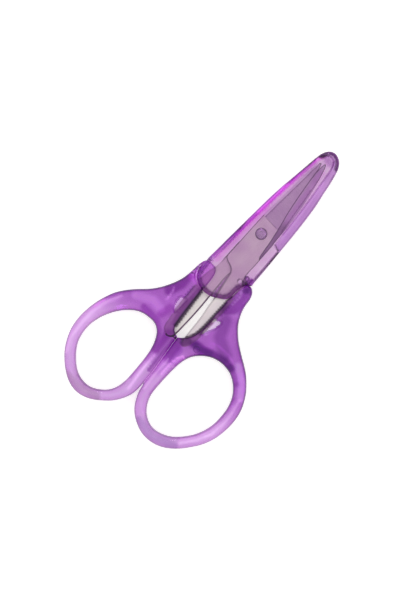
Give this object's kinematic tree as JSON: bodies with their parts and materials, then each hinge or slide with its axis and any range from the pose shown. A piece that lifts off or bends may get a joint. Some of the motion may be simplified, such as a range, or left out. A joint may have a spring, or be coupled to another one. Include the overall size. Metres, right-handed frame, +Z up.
{
  "type": "capped craft scissors",
  "caption": "Compact paper craft scissors with straight steel blades, translucent purple finger-loop handles and a see-through slide-on blade cap.",
  "frame": {"origin": "middle of the underside of the whole object's box, lying flat and closed with the cap on", "axes": "+Y along the blades towards the capped tip, +Z up out of the flat-lying scissors on the front blade's side, +X towards the right handle"},
  "size_m": [0.0674, 0.127, 0.007],
  "materials": {
    "blade_steel": "rolled sheet, ground bevels, fine lengthwise grain",
    "rivet_steel": "domed, lightly burnished",
    "handle_plastic": "glossy translucent tinted plastic",
    "cap_plastic": "glossy transparent tinted plastic"
  },
  "bodies": {
    "pivot": {"pivot_rivet": "rivet_steel"},
    "right_half": {"right_handle": "handle_plastic", "front_blade": "blade_steel"},
    "left_half": {"left_handle": "handle_plastic", "back_blade": "blade_steel"},
    "cap": {"blade_cap": "cap_plastic"}
  },
  "joints": [
    {"name": "cap_slide", "type": "slide", "parent": "pivot", "child": "cap", "axis": [0, 1, 0], "range_m": [0, 0.13]},
    {"name": "right_hinge", "type": "hinge", "parent": "pivot", "child": "right_half", "pos_m": [-0.00466, 0.02391, 0.0035], "axis": [0, 0, 1], "range_deg": [0, 24.6]},
    {"name": "left_hinge", "type": "hinge", "parent": "pivot", "child": "left_half", "pos_m": [-0.00466, 0.02391, 0.0035], "axis": [0, 0, -1], "range_deg": [0, 24.6]}
  ],
  "couplings": [
    {"joint": "right_hinge", "follows": "cap_slide", "rad_per_m": 3.3},
    {"joint": "left_hinge", "follows": "cap_slide", "rad_per_m": 3.3}
  ]
}
